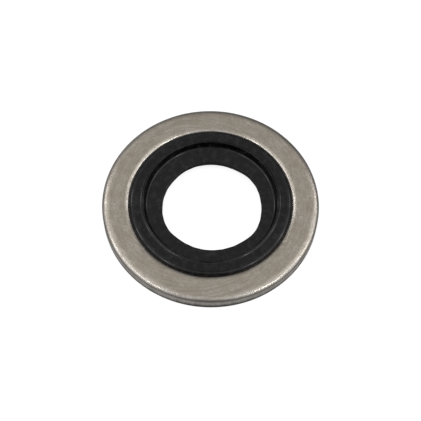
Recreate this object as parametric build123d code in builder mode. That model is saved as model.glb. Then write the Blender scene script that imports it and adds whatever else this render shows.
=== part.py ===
from build123d import *
import os

# A self-centring bonded sealing washer for an M8 stud, in millimetres.
# A blanked steel ring holds a rubber seal that is moulded and bonded into its bore.
# +Z runs along the stud, and the lower sealing lip touches Z = 0.
# Sizes are built outward from the bore, because everything follows the stud.

# Rubber seal, across
bore_diameter = 6.4  # trimmed hole in the web, small enough to grip the thread
web_width = 0.89  # flat web, from the bore to the foot of the lip
flank_width = 0.30  # steep inner side of the lip, foot to crest
crest_width = 0.23  # outer side of the crest, down to the sealing face
face_width = 0.51  # nearly flat sealing face, out to the shoulder
groove_width = 0.18  # valley between the shoulder and the steel

# Rubber seal, in height
web_thickness = 0.40  # thin centring web, halfway up the seal
crest_rise = 0.15  # crest of the lip above the steel's face
face_rise = 0.07  # sealing face above the steel's face, where the crest ends
shoulder_rise = 0.04  # and at the shoulder
groove_depth = 0.12  # bond line below the steel's face

# Rubber seal, moulded roundings
foot_rounding = 0.16  # where the lip rises from the web
crest_rounding = 0.08  # where the flank turns over into the crest's outer side

# Steel ring
ring_width = 1.69  # bonded bore to rim, which makes the washer 14 mm across
ring_thickness = 1.0  # sheet that the ring is blanked from
rim_roll_width = 0.45  # die roll of the upper outer edge, across
rim_roll_depth = 0.15  # and downward
bore_roll_width = 0.25  # die roll of the upper inner edge, across
bore_roll_depth = 0.10  # and downward
edge_break = 0.05  # corners worn off by tumbling, across and downward

# Radii, from the stud outward
bore_radius = bore_diameter / 2
foot_radius = bore_radius + web_width
crest_radius = foot_radius + flank_width
face_radius = crest_radius + crest_width
shoulder_radius = face_radius + face_width
bond_radius = shoulder_radius + groove_width
rim_radius = bond_radius + ring_width

# Heights, from the lower lip upward
ring_bottom = crest_rise
ring_top = ring_bottom + ring_thickness
mid_height = ring_bottom + ring_thickness / 2
web_top = mid_height + web_thickness / 2
crest_height = ring_top + crest_rise
face_height = ring_top + face_rise
shoulder_height = ring_top + shoulder_rise
bond_height = ring_top - groove_depth

# Steel ring: the punch drew both upper edges down in a curve, and tumbling broke the sharp corners
with BuildPart() as metal_ring:
    with BuildSketch(Plane.XZ):
        with BuildLine():
            rim_roll = TangentArc(
                (rim_radius - edge_break - rim_roll_width, ring_top),
                (rim_radius - edge_break, ring_top - rim_roll_depth),
                tangent=(1, 0),
            )
            bore_roll = TangentArc(
                (bond_radius + bore_roll_width, ring_top),
                (bond_radius, ring_top - bore_roll_depth),
                tangent=(-1, 0),
            )
            Line(rim_roll @ 0, bore_roll @ 0)
            Polyline(
                bore_roll @ 1,
                (bond_radius, ring_bottom + edge_break),
                (bond_radius + edge_break, ring_bottom),
                (rim_radius - edge_break, ring_bottom),
                (rim_radius, ring_bottom + edge_break),
                (rim_radius, ring_top - rim_roll_depth - edge_break),
                rim_roll @ 1,
            )
        make_face()
    revolve(axis=Axis.Z)
metal_ring.part.label = "metal_ring"

# Rubber seal: the upper half of its section, mirrored at mid height and turned
with BuildPart() as rubber_seal:
    with BuildSketch(Plane.XZ):
        with BuildLine():
            # Circles that round the foot and the crest of the lip
            foot = CenterArc(
                (foot_radius, web_top + foot_rounding), foot_rounding, 0, 360, mode=Mode.PRIVATE
            )
            crest = CenterArc(
                (crest_radius, crest_height - crest_rounding), crest_rounding, 0, 360, mode=Mode.PRIVATE
            )
            # Straight runs that touch them: the flank passes under the foot's circle and over the crest's
            flank = ConstrainedLines((foot, Tangency.ENCLOSING), (crest, Tangency.OUTSIDE))
            slope = ConstrainedLines((crest, Tangency.OUTSIDE), (face_radius, face_height))
            # The whole surface, from the bore over the lip to the bond, and back at mid height
            web = Line((bore_radius, web_top), (foot_radius, web_top))
            TangentArc(web @ 1, flank @ 0, tangent=web % 1)
            TangentArc(flank @ 1, slope @ 0, tangent=flank % 1)
            Polyline(
                slope @ 1,
                (shoulder_radius, shoulder_height),
                (bond_radius, bond_height),
                (bond_radius, mid_height),
                (bore_radius, mid_height),
                web @ 0,
            )
        make_face()
        mirror(about=Plane.XZ.offset(-mid_height))  # height is Y in the sketch's own axes
    revolve(axis=Axis.Z)
rubber_seal.part.label = "rubber_seal"

# One file for each piece
os.makedirs("parts", exist_ok=True)
export_step(metal_ring.part, "parts/metal_ring.step")
export_step(rubber_seal.part, "parts/rubber_seal.step")

print(f"outside diameter {2 * rim_radius:.2f} mm, height over the lips {crest_height:.2f} mm")
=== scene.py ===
import bpy
import math
import random
from mathutils import Matrix, Vector


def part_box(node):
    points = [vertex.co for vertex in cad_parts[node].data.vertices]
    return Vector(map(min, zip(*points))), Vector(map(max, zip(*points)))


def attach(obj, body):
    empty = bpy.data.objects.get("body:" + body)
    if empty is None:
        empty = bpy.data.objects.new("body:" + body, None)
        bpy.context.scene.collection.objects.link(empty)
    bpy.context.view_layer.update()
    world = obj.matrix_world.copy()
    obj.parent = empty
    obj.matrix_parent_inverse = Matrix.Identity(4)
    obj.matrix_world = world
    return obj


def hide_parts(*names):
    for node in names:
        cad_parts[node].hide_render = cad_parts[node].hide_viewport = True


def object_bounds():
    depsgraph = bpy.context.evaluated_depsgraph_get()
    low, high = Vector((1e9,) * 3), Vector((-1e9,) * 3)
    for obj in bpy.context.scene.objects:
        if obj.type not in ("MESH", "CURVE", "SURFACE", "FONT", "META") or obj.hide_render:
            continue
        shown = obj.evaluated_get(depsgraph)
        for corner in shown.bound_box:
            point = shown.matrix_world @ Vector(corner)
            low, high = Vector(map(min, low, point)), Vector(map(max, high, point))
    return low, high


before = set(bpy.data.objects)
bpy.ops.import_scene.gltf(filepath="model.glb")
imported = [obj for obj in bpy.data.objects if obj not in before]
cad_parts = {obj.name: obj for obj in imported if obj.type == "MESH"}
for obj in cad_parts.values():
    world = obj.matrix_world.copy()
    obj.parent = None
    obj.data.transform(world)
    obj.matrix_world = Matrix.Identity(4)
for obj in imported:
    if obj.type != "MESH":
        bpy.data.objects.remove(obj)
cadLow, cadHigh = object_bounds()
print("stage 1: packed washer loaded")

mm = 0.001
fullTurn = 2 * math.pi
touch = 1e-6  # millimetres within which a point counts as lying on a face
ringLow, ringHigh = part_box("metal_ring")
_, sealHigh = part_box("rubber_seal")
rimRadius = ringHigh.x / mm
bondRadius = sealHigh.x / mm
ringTop = ringHigh.z / mm
ringBottom = ringLow.z / mm
midHeight = (ringTop + ringBottom) / 2


# Section tools: a section is a list of (radius, height) points in millimetres


def runPoints(start, end, steps):
    # inner points of a straight run, without its two ends
    return [
        (start[0] + (end[0] - start[0]) * i / steps, start[1] + (end[1] - start[1]) * i / steps)
        for i in range(1, steps)
    ]


def evenRun(start, end, stepLength):
    # the same, with as many points as the run's length needs
    end = Vector(end)
    steps = max(1, round((end - Vector(start)).length / stepLength))
    return runPoints(start, tuple(end), steps)


def arcPoints(centre, radius, fromDegrees, toDegrees, steps):
    points = []
    for i in range(steps + 1):
        angle = math.radians(fromDegrees + (toDegrees - fromDegrees) * i / steps)
        points.append((centre[0] + radius * math.cos(angle), centre[1] + radius * math.sin(angle)))
    return points


def roundedPath(corners, roundings, turnStep, runStep, fewestSteps=3, largestShare=0.49):
    # straight runs between the corners, each inner corner rounded to its own radius, or to
    # less where that would take more than the largest share of a run beside it
    path = [corners[0]]
    for before, corner, after, rounding in zip(corners, corners[1:], corners[2:], roundings):
        here = Vector(corner)
        back, ahead = Vector(before) - here, Vector(after) - here
        halfAngle = back.angle(ahead) / 2
        longestCut = min(back.length, ahead.length) * largestShare
        cut = min(rounding / math.tan(halfAngle), longestCut)
        rounding = cut * math.tan(halfAngle)
        start, end = here + back.normalized() * cut, here + ahead.normalized() * cut
        inward = (back.normalized() + ahead.normalized()).normalized()
        centre = here + inward * rounding / math.sin(halfAngle)
        fromAngle = math.atan2(start.y - centre.y, start.x - centre.x)
        toAngle = math.atan2(end.y - centre.y, end.x - centre.x)
        turn = (toAngle - fromAngle + math.pi) % fullTurn - math.pi
        steps = max(fewestSteps, round(abs(math.degrees(turn)) / turnStep))
        path += evenRun(path[-1], start, runStep)
        fromDegrees, toDegrees = math.degrees(fromAngle), math.degrees(fromAngle + turn)
        path += arcPoints(centre, rounding, fromDegrees, toDegrees, steps)
    return path + evenRun(path[-1], corners[-1], runStep) + [corners[-1]]


def rolledEdge(corner, width, depth, fullness, steps):
    # from the flat face down to the wall; corner is where face and wall would meet, width is
    # negative for an edge that faces the bore, and a fullness of 2 is a plain quarter ellipse
    points = []
    for i in range(steps + 1):
        angle = math.pi / 2 * i / steps
        along = math.sin(angle) ** (2 / fullness)
        down = 1 - math.cos(angle) ** (2 / fullness)
        points.append((corner[0] - width * (1 - along), corner[1] - depth * down))
    return points


def makeWaver(seed, turns, size, weights=(0.4, 1.0)):
    # a smooth random wave around the ring, repeating after one turn
    draw = random.Random(seed)
    waves = [(n, draw.uniform(0, fullTurn), draw.uniform(*weights)) for n in turns]
    total = sum(weight for _, _, weight in waves)
    return lambda angle: size / total * sum(w * math.sin(n * angle + p) for n, p, w in waves)


def swell(angle, centreDegrees, halfWidthDegrees):
    # 1 at the centre, smoothly 0 beyond the half width
    away = (math.degrees(angle) - centreDegrees + 180) % 360 - 180
    if abs(away) >= halfWidthDegrees:
        return 0.0
    return 0.5 + 0.5 * math.cos(math.pi * away / halfWidthDegrees)


def polar(radius, angle):
    return radius * math.cos(angle), radius * math.sin(angle)


def turnSection(name, section, segments, shape):
    # turns the closed section about the stud's axis; shape moves each point a little for its angle
    verts, faces = [], []
    count = len(section)
    for s in range(segments):
        angle = fullTurn * s / segments
        for radius, height in section:
            x, y, z = shape(radius, height, angle)
            verts.append((x * mm, y * mm, z * mm))
    for s in range(segments):
        near, far = s * count, (s + 1) % segments * count
        for i in range(count):
            j = (i + 1) % count
            faces.append((near + i, far + i, far + j, near + j))
    mesh = bpy.data.meshes.new(name)
    mesh.from_pydata(verts, [], faces)
    mesh.validate()
    mesh.shade_smooth()
    piece = bpy.data.objects.new(name, mesh)
    bpy.context.scene.collection.objects.link(piece)
    return piece


# Shader tools


class Shader:
    # a short way to add nodes to one material or to the world
    def __init__(self, owner):
        owner.use_nodes = True
        self.tree = owner.node_tree
        self.tree.nodes.clear()

    def add(self, kind, settings=None, **inputs):
        node = self.tree.nodes.new("ShaderNode" + kind)
        for key, value in (settings or {}).items():
            setattr(node, key, value)
        for key, value in inputs.items():
            self.feed(node, key.replace("_", " "), value)
        return node

    def feed(self, node, key, value):
        socket = node.inputs[int(key)] if key.isdigit() else node.inputs[key]
        if isinstance(value, bpy.types.NodeSocket):
            self.tree.links.new(value, socket)
        else:
            socket.default_value = value

    def finish(self, kind, shader):
        self.tree.links.new(shader.outputs[0], self.add(kind).inputs[0])

    def math(self, operation, first, second=0.0):
        return self.add("Math", {"operation": operation}, **{"0": first, "1": second}).outputs[0]

    def plus(self, first, second):
        return self.math("ADD", first, second)

    def minus(self, first, second):
        return self.math("SUBTRACT", first, second)

    def times(self, first, second):
        return self.math("MULTIPLY", first, second)

    def remap(self, value, fromLow, fromHigh, toLow=0.0, toHigh=1.0, kind="LINEAR"):
        node = self.add("MapRange", {"interpolation_type": kind}, Value=value, From_Min=fromLow,
                        From_Max=fromHigh, To_Min=toLow, To_Max=toHigh)
        return node.outputs["Result"]

    def fade(self, value, fromLow, fromHigh, toLow=0.0, toHigh=1.0):
        # as remap, with soft ends
        return self.remap(value, fromLow, fromHigh, toLow, toHigh, "SMOOTHSTEP")

    def noise(self, vector, scale, detail, roughness):
        node = self.add("TexNoise", Vector=vector, Scale=scale, Detail=detail, Roughness=roughness)
        return node.outputs[0]

    def mix(self, factor, first, second):
        # sockets 0, 6 and 7 are the factor and the two colours
        node = self.add("Mix", {"data_type": "RGBA"}, **{"0": factor, "6": first, "7": second})
        return node.outputs[2]

    def mixNumbers(self, factor, first, second):
        node = self.add("Mix", {"data_type": "FLOAT"}, **{"0": factor, "2": first, "3": second})
        return node.outputs[0]

    def vector(self, x, y, z):
        return self.add("CombineXYZ", X=x, Y=y, Z=z).outputs[0]

    def split(self, vector):
        return self.add("SeparateXYZ", Vector=vector).outputs

    def vectorMath(self, operation, result=0, **inputs):
        return self.add("VectorMath", {"operation": operation}, **inputs).outputs[result]

    def scaled(self, vector, factor):
        return self.vectorMath("SCALE", Vector=vector, Scale=factor)

    def moved(self, vector, shift):
        return self.vectorMath("ADD", **{"0": vector, "1": shift})


def roundCoordinates(shader):
    # object place in millimetres, its radius, height, and the unit circle point of its angle
    place = shader.scaled(shader.add("TexCoord").outputs["Object"], 1 / mm)
    x, y, z = shader.split(place)
    flat = shader.vector(x, y, 0.0)
    radius = shader.vectorMath("LENGTH", "Value", Vector=flat)
    around = shader.vectorMath("NORMALIZE", Vector=flat)
    return place, radius, z, around


# Steel ring: blanked, so its upper edges roll down and its rim is sheared, then tumbled

ringShape = {
    "segments": 720,
    "rimRollWidth": 0.53,
    "rimRollDepth": 0.20,
    "rimRollFullness": 1.9,
    "boreRollWidth": 0.26,
    "boreRollDepth": 0.085,
    "boreRollFullness": 1.3,
    "lowerRounding": 0.05,
    # steps along the section: both rolls, the lower corners, and the straight runs
    "rimRollSteps": 22,
    "boreRollSteps": 16,
    "cornerSteps": 5,
    "rimWallSteps": 12,
    "lowerFaceSteps": 8,
    "boreWallSteps": 4,
    "upperFaceSteps": 14,
    # how far the rolls, the flat and the sheared wall stray, in mm
    "rollWaver": 0.012,
    "faceWaver": 0.0015,
    "shearWaver": 0.004,
    # seed of each wave, and how many times its parts repeat in one turn
    "rimWave": (11, (2, 3, 5, 9, 14)),
    "boreWave": (12, (2, 4, 7, 11)),
    "faceWave": (13, (2, 3, 5, 8)),
    "shearWave": (14, (67, 83, 101, 127, 139, 151)),
    # small dents in the bore's roll: angle, half width in degrees, depth
    "dents": [(328, 2.6, 0.012), (221, 3.0, 0.008)],
}

ringFinish = {
    "warmGrey": (0.412, 0.362, 0.296, 1),
    "coolGrey": (0.535, 0.490, 0.428, 1),
    "dullGrey": (0.30, 0.262, 0.215, 1),
    "pitGrey": (0.20, 0.17, 0.14, 1),
    "rubbedEdgeAndHighlightGrey": (0.46, 0.437, 0.410, 1),
    # paler, whiter grey of the rolled edges: partly rubbed metal, partly a painted highlight
    "wallGrey": (0.56, 0.525, 0.49, 1),
    "wallDull": (0.33, 0.30, 0.27, 1),
    "wallDark": (0.035, 0.030, 0.026, 1),
    # gloss: the faces' middle value and spread, the rolled edges, and what the wall adds
    "roughness": 0.29,
    "roughnessSpread": 0.20,
    "edgeRoughness": 0.24,
    "wallRoughness": 0.15,
    # noise: patterns per millimetre, detail and roughness
    "clouds": (1.3, 5.0, 0.65),
    "grain": (7.0, 4.0, 0.7),
    "stains": (2.6, 3.0, 0.6),
    "stainShift": (7.0, 3.0, 0.0),
    # lines: their noise, and how often they change around the ring, across it and up its wall
    "lines": (1.0, 4.0, 0.7),
    "scratchesAround": 9.0,
    "scratchesAcross": 7.0,
    "shearAround": 17.0,
    "shearUpward": 0.5,
    # the stretch of each pattern's noise over which it comes in
    "cloudRange": (0.36, 0.64),
    "stainRange": (0.52, 0.78),
    "scratchRange": (0.40, 0.75),
    "grainRange": (0.46, 0.76),
    "shearRange": (0.25, 0.75),
    # how strongly each pattern dulls the colour
    "stainStrength": 0.55,
    "scratchStrength": 0.95,
    "grainStrength": 0.95,
    "pitStrength": 0.7,
    # pits: cells per millimetre, where a pit is full and gone, and the share of cells without one
    "pits": 2.1,
    "pitCore": 0.05,
    "pitEdge": 0.11,
    "pitless": (0.62, 0.66),
    # rubbed edges, whose paler colour is also a painted highlight, and wall, in mm inward of the rim or
    # outward of the bond: begun and full
    "rimRub": (0.42, 0.15),
    "boreRub": (0.24, 0.10),
    "wallSkin": (0.045, 0.012),
    # sheared wall, in mm: dark line under the roll, partly a burnish step and partly a painted dark
    # reflection, and a torn dark strip along the bottom
    "burnishAndReflectionLine": 0.035,
    "burnishAndReflectionStrength": 0.4,
    "tornHeight": 0.26,
    "tornFull": 0.4,  # shares of that height at which the strip is full and gone
    "tornGone": 1.5,
    "tornWander": 0.06,
    "tornRange": (0.3, 0.7),
    "nearSideShadowRise": 0.12,  # how much higher the dark strip reaches on the near side, as painted shadow
    "nearSide": (-1.0, -0.90),  # and where that is, in the sine of the angle
    # relief, in mm, and each pattern's share of it
    "reliefDepth": 0.006,
    "reliefStrength": 0.6,
    "grainRelief": 0.9,
    "scratchRelief": 0.7,
    "pitRelief": 1.5,
    "shearRelief": 2.4,
}


def ringSection():
    k = ringShape
    rounding = k["lowerRounding"]
    cornerHeight = ringBottom + rounding
    rimRoll = rolledEdge(
        (rimRadius, ringTop),
        k["rimRollWidth"],
        k["rimRollDepth"],
        k["rimRollFullness"],
        k["rimRollSteps"],
    )
    lowerRim = arcPoints((rimRadius - rounding, cornerHeight), rounding, 0, -90, k["cornerSteps"])
    lowerBore = arcPoints((bondRadius + rounding, cornerHeight), rounding, -90, -180, k["cornerSteps"])
    boreRoll = rolledEdge(
        (bondRadius, ringTop),
        -k["boreRollWidth"],
        k["boreRollDepth"],
        k["boreRollFullness"],
        k["boreRollSteps"],
    )[::-1]  # from the wall up to the flat face
    section = rimRoll + runPoints(rimRoll[-1], lowerRim[0], k["rimWallSteps"])
    section += lowerRim + runPoints(lowerRim[-1], lowerBore[0], k["lowerFaceSteps"])
    section += lowerBore + runPoints(lowerBore[-1], boreRoll[0], k["boreWallSteps"])
    section += boreRoll + runPoints(boreRoll[-1], rimRoll[0], k["upperFaceSteps"])
    return section


def makeRing():
    k = ringShape
    rimWave = makeWaver(*k["rimWave"], k["rollWaver"])
    boreWave = makeWaver(*k["boreWave"], k["rollWaver"])
    faceWave = makeWaver(*k["faceWave"], k["faceWaver"])
    shearWave = makeWaver(*k["shearWave"], k["shearWaver"])

    def shape(radius, height, angle):
        drop = ringTop - height
        # each roll is a little deeper on some stretches than on others
        if radius > rimRadius - k["rimRollWidth"] and drop < k["rimRollDepth"]:
            height -= max(0.0, rimWave(angle) + k["rollWaver"]) * (drop / k["rimRollDepth"])
        if radius < bondRadius + k["boreRollWidth"] and drop < k["boreRollDepth"]:
            height -= max(0.0, boreWave(angle) + k["rollWaver"]) * (drop / k["boreRollDepth"])
            height -= sum(depth * swell(angle, at, wide) for at, wide, depth in k["dents"])
        if drop < touch:
            height -= abs(faceWave(angle + radius))
        if radius > rimRadius - touch:
            radius -= abs(shearWave(angle))
        return *polar(radius, angle), height

    ring = turnSection("steelRing", ringSection(), k["segments"], shape)
    ring.data.materials.append(makeRingSteel())
    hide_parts("metal_ring")
    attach(ring, "root")


def makeRingSteel():
    k = ringFinish
    steel = bpy.data.materials.new("tumbledRingSteel")
    s = Shader(steel)
    place, radius, height, around = roundCoordinates(s)

    # clouds, fine grain, stains and pits of the tumbled faces
    clouds = s.noise(place, *k["clouds"])
    grain = s.noise(place, *k["grain"])
    stain = s.noise(s.moved(place, k["stainShift"]), *k["stains"])
    cells = s.add("TexVoronoi", Vector=place, Scale=k["pits"]).outputs
    cellDraw = s.add("SeparateColor", Color=cells["Color"]).outputs[0]
    pit = s.times(
        s.fade(cells["Distance"], k["pitCore"], k["pitEdge"], 1.0, 0.0),
        s.remap(cellDraw, *k["pitless"]),
    )

    # faint scratches along the ring, and streaks left on the wall by the shear
    outward = s.vector(s.times(radius, k["scratchesAcross"]), 0.0, 0.0)
    scratch = s.noise(s.moved(s.scaled(around, k["scratchesAround"]), outward), *k["lines"])
    upward = s.vector(0.0, 0.0, s.times(height, k["shearUpward"]))
    shear = s.noise(s.moved(s.scaled(around, k["shearAround"]), upward), *k["lines"])

    # masks of the sheared wall and of the rolled edges, which are rubbed smoother and whiter; their
    # whiter colour is also a painted highlight
    skinStart, skinFull = k["wallSkin"]
    onWall = s.fade(radius, rimRadius - skinStart, rimRadius - skinFull)
    rimStart, rimFull = k["rimRub"]
    boreStart, boreFull = k["boreRub"]
    onEdge = s.math(
        "MAXIMUM",
        s.fade(radius, rimRadius - rimStart, rimRadius - rimFull),
        s.fade(radius, bondRadius + boreFull, bondRadius + boreStart, 1.0, 0.0),
    )

    colour = s.mix(s.remap(clouds, *k["cloudRange"]), k["coolGrey"], k["warmGrey"])
    # painted highlight: the rolled edges, where the highlights lie, are painted paler and whiter,
    # partly as rubbed metal
    colour = s.mix(onEdge, colour, k["rubbedEdgeAndHighlightGrey"])
    for name, pattern in (("stain", stain), ("scratch", scratch), ("grain", grain)):
        shown = s.remap(pattern, *k[name + "Range"], 0.0, k[name + "Strength"])
        colour = s.mix(shown, colour, k["dullGrey"])
    colour = s.mix(s.times(pit, k["pitStrength"]), colour, k["pitGrey"])

    # the wall is streaked, with a thin dark line under the roll, partly a burnish step and partly
    # a painted dark reflection, and a torn dark strip at the bottom, raised on the near side as painted
    # shadow
    wallColour = s.mix(s.remap(shear, *k["shearRange"]), k["wallDull"], k["wallGrey"])
    wander = k["tornWander"]
    tornAndShadowLevel = s.plus(height, s.remap(shear, *k["tornRange"], -wander, wander))
    # painted shadow: on the near side the dark strip reaches higher up the wall
    tornAndShadowLevel = s.minus(tornAndShadowLevel, s.remap(s.split(around)[1], *k["nearSide"], k["nearSideShadowRise"], 0.0))
    tornFull = ringBottom + k["tornHeight"] * k["tornFull"]
    tornGone = ringBottom + k["tornHeight"] * k["tornGone"]
    tornAndShadowStrip = s.remap(tornAndShadowLevel, tornFull, tornGone, 1.0, 0.0)
    wallTop = ringTop - ringShape["rimRollDepth"]
    lineTop = wallTop - k["burnishAndReflectionLine"]
    # painted reflection: a thin dark band under the roll, partly a burnish step
    burnishAndReflectionDark = s.fade(height, lineTop - k["burnishAndReflectionLine"], lineTop, 0.0, k["burnishAndReflectionStrength"])
    wallColour = s.mix(s.math("MAXIMUM", tornAndShadowStrip, burnishAndReflectionDark), wallColour, k["wallDark"])
    colour = s.mix(onWall, colour, wallColour)

    smoothest = k["roughness"] - k["roughnessSpread"] / 2
    rough = s.plus(smoothest, s.times(clouds, k["roughnessSpread"]))
    rough = s.plus(rough, s.times(onEdge, k["edgeRoughness"] - k["roughness"]))
    rough = s.plus(rough, s.times(onWall, k["wallRoughness"]))

    relief = s.plus(s.times(grain, k["grainRelief"]), s.times(scratch, k["scratchRelief"]))
    relief = s.minus(relief, s.times(pit, k["pitRelief"]))
    relief = s.plus(relief, s.times(s.times(shear, onWall), k["shearRelief"]))
    bump = s.add("Bump", Strength=k["reliefStrength"], Distance=k["reliefDepth"] * mm, Height=relief)

    s.finish("OutputMaterial", s.add(
        "BsdfPrincipled", Base_Color=colour, Metallic=1.0, Roughness=rough, Normal=bump.outputs[0]
    ))
    return steel


# Rubber seal: two lips and a thin web, moulded in one shot, with the bore trimmed by a punch

sealShape = {
    "segments": 720,
    "turnStep": 9,  # degrees between points of a rounding
    "runStep": 0.1,  # mm between points of a straight run
    "boreRadius": 3.20,
    "boreWallShare": 0.3,  # the bore's wall is one face up to this share of the web's half height
    "trimRounding": 0.03,
    "webDrop": 0.315,
    # lip: radius, height above the steel's face and rounding of each corner, from the foot outward
    "footRadius": 4.21,
    "footRounding": 0.19,
    "crestRadius": 4.35,
    "crestRise": 0.161,
    "crestRounding": 0.03,
    "valleyRadius": 4.49,
    "valleyRise": 0.06,
    "valleyRounding": 0.50,
    "moundRadius": 4.94,
    "moundRise": 0.082,
    "moundRounding": 0.53,
    "shoulderRadius": 5.155,
    "shoulderRise": 0.06,
    "shoulderRounding": 0.55,
    "grooveDepth": 0.10,
    # trim of the bore: how far the punch sat off centre, and how far out the web follows it
    "trimShift": (0.10, -0.15),
    "trimReach": 0.35,
    "trimWaver": 0.030,
    "trimWave": (21, (3, 4, 5, 7, 9, 13, 17, 23, 31)),
    # places where the trim cut wider: angle, half width, depth
    "trimBites": [(327, 30, 0.10), (212, 34, 0.08), (35, 30, 0.07), (118, 22, 0.03)],
    # the upper lip sags a little in places, within this distance of the steel's face and crest
    "lipZone": 0.2,
    "lipWaver": 0.010,
    "lipWave": (22, (2, 3, 5, 7)),
}

sealFinish = {
    "black": (0.0002, 0.0002, 0.0002, 1),
    "greyBlack": (0.0125, 0.0125, 0.0150, 1),
    "primer": (0.022, 0.011, 0.006, 1),
    "roughness": 0.10,
    "roughnessSpread": 0.10,
    "cutRoughness": 0.75,
    "refraction": 1.39,
    # noise: patterns per millimetre, detail and roughness
    "clouds": (2.6, 5.0, 0.75),
    "grain": (13.0, 4.0, 0.7),
    "primerPatches": (3.0, 3.0, 0.6),
    # the stretch of each pattern's noise over which it comes in
    "cloudRange": (0.48, 0.64),
    "primerRange": (0.42, 0.60),
    # cut wall of the bore, in mm: how far out it can reach, and how far below the web's skin
    "cutReach": (0.30, 0.35),
    "cutBelowSkin": (0.03, 0.005),
    # primer, in mm inward of the bond: where it begins and is full, and how strongly it shows
    "primerEdge": (0.09, 0.02),
    "primerStrength": 0.8,
    "reliefDepth": 0.004,
    "reliefStrength": 0.6,
}


def halfSealSection():
    # from the bore near mid height over the lip to the bond, heights above mid height
    k = sealShape
    ringFace = ringTop - midHeight
    webTop = ringFace - k["webDrop"]
    bore = k["boreRadius"]
    corners = [(bore, webTop * k["boreWallShare"]), (bore, webTop), (k["footRadius"], webTop)]
    roundings = [k["trimRounding"], k["footRounding"]]
    for name in ("crest", "valley", "mound", "shoulder"):
        corners.append((k[name + "Radius"], ringFace + k[name + "Rise"]))
        roundings.append(k[name + "Rounding"])
    corners.append((bondRadius, ringFace - k["grooveDepth"]))
    return roundedPath(corners, roundings, k["turnStep"], k["runStep"])


def makeSeal():
    k = sealShape
    upper = halfSealSection()
    lower = [(radius, -height) for radius, height in reversed(upper)]
    section = [(radius, midHeight + height) for radius, height in upper + lower]
    trimWave = makeWaver(*k["trimWave"], k["trimWaver"])
    lipWave = makeWaver(*k["lipWave"], k["lipWaver"])
    lipBottom = ringTop - k["lipZone"]
    lipStart = k["crestRadius"] - k["lipZone"]

    def shape(radius, height, angle):
        x, y = polar(radius, angle)
        # the trimming punch sat a little off centre, so only the web near the bore shifts
        share = max(0.0, 1 - (radius - k["boreRadius"]) / k["trimReach"])
        grow = trimWave(angle) - sum(size * swell(angle, at, wide) for at, wide, size in k["trimBites"])
        growX, growY = polar(grow * share, angle)
        x += share * k["trimShift"][0] - growX
        y += share * k["trimShift"][1] - growY
        if height > lipBottom and lipStart < radius < k["shoulderRadius"]:
            height -= abs(lipWave(angle))
        return x, y, height

    seal = turnSection("rubberSeal", section, k["segments"], shape)
    seal.data.materials.append(makeSealRubber())
    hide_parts("rubber_seal")
    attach(seal, "root")


def makeSealRubber():
    k = sealFinish
    rubber = bpy.data.materials.new("mouldedSealRubber")
    s = Shader(rubber)
    place, radius, height, _ = roundCoordinates(s)
    clouds = s.noise(place, *k["clouds"])
    grain = s.noise(place, *k["grain"])

    # the wall of the bore is cut, not moulded, so it is matt
    cutFull, cutGone = (sealShape["boreRadius"] + reach for reach in k["cutReach"])
    webHalf = ringTop - midHeight - sealShape["webDrop"]
    skinFull, skinGone = (webHalf - depth for depth in k["cutBelowSkin"])
    fromMiddle = s.math("ABSOLUTE", s.minus(height, midHeight))
    onCut = s.times(
        s.fade(radius, cutFull, cutGone, 1.0, 0.0),
        s.remap(fromMiddle, skinFull, skinGone, 1.0, 0.0),
    )

    # mottled black, with a trace of brown bonding primer in the groove
    colour = s.mix(s.remap(clouds, *k["cloudRange"]), k["black"], k["greyBlack"])
    primerStart, primerFull = (bondRadius - inward for inward in k["primerEdge"])
    patches = s.noise(place, *k["primerPatches"])
    patches = s.remap(patches, *k["primerRange"], 0.0, k["primerStrength"])
    primer = s.times(s.fade(radius, primerStart, primerFull), patches)
    colour = s.mix(primer, colour, k["primer"])

    smoothest = k["roughness"] - k["roughnessSpread"] / 2
    rough = s.plus(smoothest, s.times(clouds, k["roughnessSpread"]))
    rough = s.plus(rough, s.times(onCut, k["cutRoughness"] - k["roughness"]))
    bump = s.add("Bump", Strength=k["reliefStrength"], Distance=k["reliefDepth"] * mm, Height=grain)
    surface = s.add("BsdfPrincipled", Base_Color=colour, Roughness=rough, Normal=bump.outputs[0])
    s.feed(surface, "IOR", k["refraction"])
    s.finish("OutputMaterial", surface)
    return rubber


# Studio: a pale floor, a white backdrop behind it, large soft boxes and small lamps

floorLook = {
    "halfSize": 120,
    "paint": (0.30, 0.30, 0.30, 1),
    "seenGlow": 0.86,  # what the camera sees on top of the paint
    "mirroredGlow": 0.26,  # and what the steel and the rubber mirror
}

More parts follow.
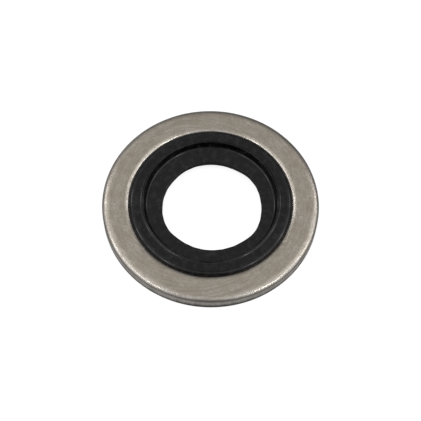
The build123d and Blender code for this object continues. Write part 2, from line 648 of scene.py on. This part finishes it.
studioLight = {
    "room": 0.216,
    "seenBackdrop": 1.0,
    # direction, half angle, soft edge and brightness of each soft box; azimuth 0 is to the
    # right, 90 is the far side, and all angles are in degrees
    "softBoxes": [
        {"azimuth": -22, "elevation": 53, "half": 28, "edge": 24, "glow": 0.80},  # right
        {"azimuth": -158, "elevation": 53, "half": 28, "edge": 24, "glow": 0.69},  # left
        {"azimuth": 158, "elevation": 48, "half": 28, "edge": 24, "glow": 0.34},  # far left
        {"azimuth": 22, "elevation": 48, "half": 28, "edge": 24, "glow": 0.22},  # far right
        {"azimuth": 90, "elevation": 57, "half": 23, "edge": 22, "glow": 0.40},  # far, in the flats
        {"azimuth": 30, "elevation": 46, "half": 12, "edge": 22, "glow": 0.64},  # right, in the bore
        {"azimuth": 150, "elevation": 46, "half": 12, "edge": 22, "glow": 0.26},  # left, in the bore
        {"azimuth": 120, "elevation": 22, "half": 16, "edge": 28, "glow": 0.13},  # far rim
        {"azimuth": -90, "elevation": 76, "half": 12, "edge": 16, "glow": 0.28},  # near rim
    ],
    # lamps that give the rolled edges and the lip their bright cores, all of one size
    "lampHalf": 2.5,
    "lampEdge": 4,
    "lamps": [
        {"azimuth": 130, "elevation": 50, "glow": 2.0},
        {"azimuth": 140, "elevation": 42, "glow": 8.0},
        {"azimuth": 40, "elevation": 42, "glow": 5.6},
        {"azimuth": -30, "elevation": 58, "glow": 15.2},
        {"azimuth": -152, "elevation": 60, "glow": 9.6},
        {"azimuth": 168, "elevation": 49, "glow": 7.2},
        {"azimuth": 10, "elevation": 48, "glow": 7.2},
        {"azimuth": -10, "elevation": 55, "glow": 4.0},
        {"azimuth": -172, "elevation": 56, "glow": 4.0},
    ],
}


def makeFloor():
    half = floorLook["halfSize"] * mm
    level = cadLow.z
    signs = ((-1, -1), (1, -1), (1, 1), (-1, 1))
    corners = [(half * right, half * far, level) for right, far in signs]
    mesh = bpy.data.meshes.new("studioFloor")
    mesh.from_pydata(corners, [], [(0, 1, 2, 3)])
    floor = bpy.data.objects.new("studioFloor", mesh)
    bpy.context.scene.collection.objects.link(floor)
    paint = bpy.data.materials.new("paleFloorPaint")
    s = Shader(paint)
    path = s.add("LightPath").outputs
    mirrored = s.math("MAXIMUM", path["Is Glossy Ray"], path["Is Transmission Ray"])
    glow = s.plus(
        s.times(path["Is Camera Ray"], floorLook["seenGlow"]),
        s.times(mirrored, floorLook["mirroredGlow"]),
    )
    both = s.add("AddShader", **{
        "0": s.add("BsdfDiffuse", Color=floorLook["paint"]).outputs[0],
        "1": s.add("Emission", Strength=glow).outputs[0],
    })
    s.finish("OutputMaterial", both)
    mesh.materials.append(paint)


def lampGlow(s, toward, lamp, half, edge):
    # the glow that one round lamp or soft box adds in the direction toward
    azimuth, elevation = math.radians(lamp["azimuth"]), math.radians(lamp["elevation"])
    middle = (*polar(math.cos(elevation), azimuth), math.sin(elevation))
    facing = s.vectorMath("DOT_PRODUCT", "Value", **{"0": toward, "1": middle})
    outer = math.cos(math.radians(half + edge / 2))
    inner = math.cos(math.radians(half - edge / 2))
    return s.fade(facing, outer, inner, 0.0, lamp["glow"])


def lightStudio():
    k = studioLight
    world = bpy.data.worlds.new("softStudio")
    bpy.context.scene.world = world
    s = Shader(world)
    toward = s.vectorMath("NORMALIZE", Vector=s.add("TexCoord").outputs["Generated"])
    total = k["room"]
    for box in k["softBoxes"]:
        total = s.plus(total, lampGlow(s, toward, box, box["half"], box["edge"]))
    for lamp in k["lamps"]:
        total = s.plus(total, lampGlow(s, toward, lamp, k["lampHalf"], k["lampEdge"]))
    # past the floor's edge the camera sees plain white
    seen = s.add("LightPath").outputs["Is Camera Ray"]
    strength = s.mixNumbers(seen, total, k["seenBackdrop"])
    s.finish("OutputWorld", s.add("Background", Color=(1, 1, 1, 1), Strength=strength))


# Camera: at the photograph's viewing angle, looking down on the washer from in front

cameraView = {
    "elevation": 61.8,
    "distance": 69.0,
    "roll": -0.98,
    "pixelsPerRadius": 108.6,
    "frameWidth": 421,
    "washerPixel": (209.95, 200.4),
    "sensor": 36,
    "clipStart": 0.001,
    "clipEnd": 10,
}


def placeCamera():
    k = cameraView
    elevation = math.radians(k["elevation"])
    focalPixels = k["pixelsPerRadius"] * k["distance"] / rimRadius
    data = bpy.data.cameras.new("productCamera")
    data.sensor_width = k["sensor"]
    data.lens = k["sensor"] * focalPixels / k["frameWidth"]
    data.clip_start = k["clipStart"]
    data.clip_end = k["clipEnd"]
    camera = bpy.data.objects.new("productCamera", data)
    bpy.context.scene.collection.objects.link(camera)
    back = Vector((0, -math.cos(elevation), math.sin(elevation)))
    target = Vector((0, 0, ringTop * mm))
    middle = (k["frameWidth"] - 1) / 2  # pixels are counted from 0, at their centres
    # the washer's middle isn't quite the frame's, so the camera turns and tips by the difference
    turn = math.atan((middle - k["washerPixel"][0]) / focalPixels)
    tip = math.atan((middle - k["washerPixel"][1]) / focalPixels)
    stand = Matrix.Rotation(math.pi / 2 - elevation, 4, "X")
    aim = Matrix.Rotation(-tip, 4, "X") @ Matrix.Rotation(-turn, 4, "Y")
    roll = Matrix.Rotation(-math.radians(k["roll"]), 4, "Z")
    place = Matrix.Translation(target + back * k["distance"] * mm)
    camera.matrix_world = place @ stand @ aim @ roll
    bpy.context.scene.camera = camera


makeRing()
print("stage 2: steel ring turned")
makeSeal()
print("stage 3: rubber seal moulded")
makeFloor()
lightStudio()
print("stage 4: floor and light set")
placeCamera()
bpy.context.scene.view_settings.view_transform = "Standard"
print("stage 5: camera placed")
